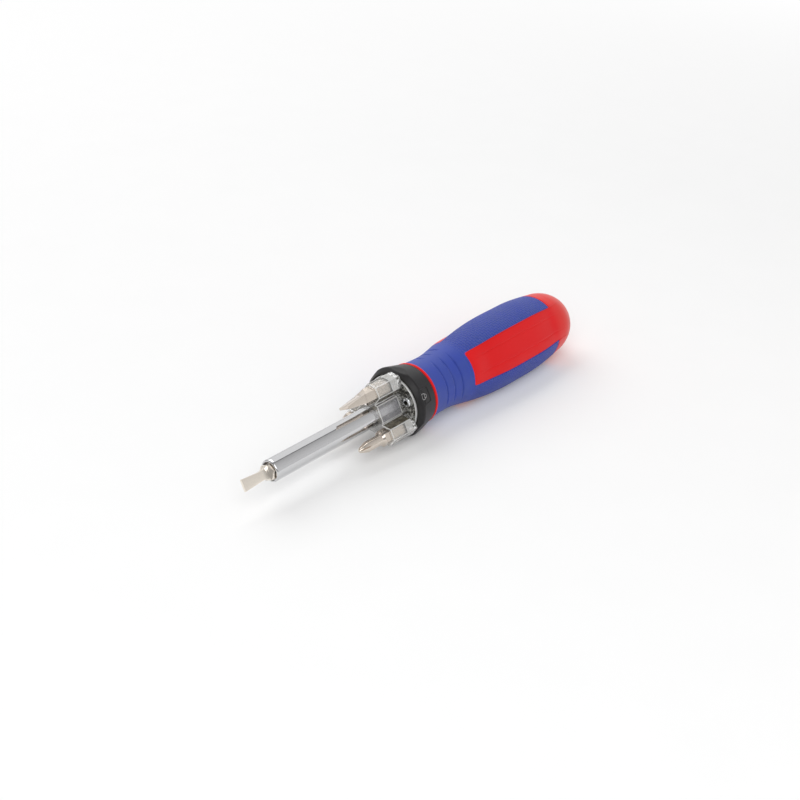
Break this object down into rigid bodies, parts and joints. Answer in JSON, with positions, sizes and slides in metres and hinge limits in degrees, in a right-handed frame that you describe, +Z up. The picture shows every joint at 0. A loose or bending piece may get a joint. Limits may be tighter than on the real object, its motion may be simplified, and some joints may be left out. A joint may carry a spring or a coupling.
{
  "type": "multi-bit screwdriver",
  "caption": "Ratcheting screwdriver with a soft two-colour handle, a twist selector collar, a clear magazine for spare bits around the shaft and a magnetic hexagonal bit socket.",
  "frame": {"origin": "on the surface it lies on, under the middle of its length and width", "axes": "+X along the tool from the bit to the butt, +Z up, with the selector in its lock setting"},
  "size_m": [0.21, 0.035, 0.0329],
  "materials": {
    "red_plastic": "moulded satin polypropylene",
    "blue_rubber": "textured soft overmould",
    "black_plastic": "moulded nylon",
    "clear_plastic": "clear moulded polycarbonate",
    "chrome_shaft": "bright chrome plate",
    "bit_steel": "nickel-plated tool steel",
    "plain_steel": "bright steel",
    "zinc_casting": "plain zinc die casting"
  },
  "bodies": {
    "handle": {"handle_core": "red_plastic", "grip_sleeve": "blue_rubber", "bit_magazine": "clear_plastic", "magazine_screw_1": "plain_steel", "magazine_screw_2": "plain_steel", "magazine_screw_3": "plain_steel", "ratchet_body": "zinc_casting", "cover_plate": "zinc_casting", "thrust_washer": "plain_steel", "pawl_pin": "plain_steel", "detent_ball": "plain_steel", "detent_spring": "plain_steel"},
    "selector": {"selector_collar": "black_plastic", "selector_plunger": "plain_steel", "plunger_spring": "plain_steel"},
    "rocker": {"pawl_rocker": "plain_steel"},
    "spindle": {"shaft": "chrome_shaft", "ratchet_gear": "plain_steel", "shaft_clip": "plain_steel", "socket_magnet": "plain_steel"},
    "drive_bit": {"bit_slotted": "bit_steel"},
    "top_bit": {"bit_slotted_spare": "bit_steel"},
    "near_bit": {"bit_phillips": "bit_steel"},
    "far_bit": {"bit_phillips_spare": "bit_steel"}
  },
  "joints": [
    {"name": "selector_twist", "type": "hinge", "parent": "handle", "child": "selector", "pos_m": [-0.01123, 0, 0.01536], "axis": [1, 0, 0], "range_deg": [-20, 20]},
    {"name": "rocker_tilt", "type": "hinge", "parent": "handle", "child": "rocker", "pos_m": [-0.01128, 0, 0.02416], "axis": [1, 0, 0], "range_deg": [-5.2, 5.2]},
    {"name": "shaft_spin", "type": "hinge", "parent": "handle", "child": "spindle", "pos_m": [-0.04, 0, 0.01536], "axis": [1, 0, 0], "continuous": true},
    {"name": "drive_bit_draw", "type": "slide", "parent": "spindle", "child": "drive_bit", "axis": [-1, 0, 0], "range_m": [0, 0.0112]},
    {"name": "top_bit_draw", "type": "slide", "parent": "handle", "child": "top_bit", "axis": [-1, 0, 0], "range_m": [0, 0.009]},
    {"name": "near_bit_draw", "type": "slide", "parent": "handle", "child": "near_bit", "axis": [-1, 0, 0], "range_m": [0, 0.009]},
    {"name": "far_bit_draw", "type": "slide", "parent": "handle", "child": "far_bit", "axis": [-1, 0, 0], "range_m": [0, 0.009]}
  ],
  "couplings": [
    {"joint": "rocker_tilt", "follows": "selector_twist", "ratio": 0.25321}
  ]
}
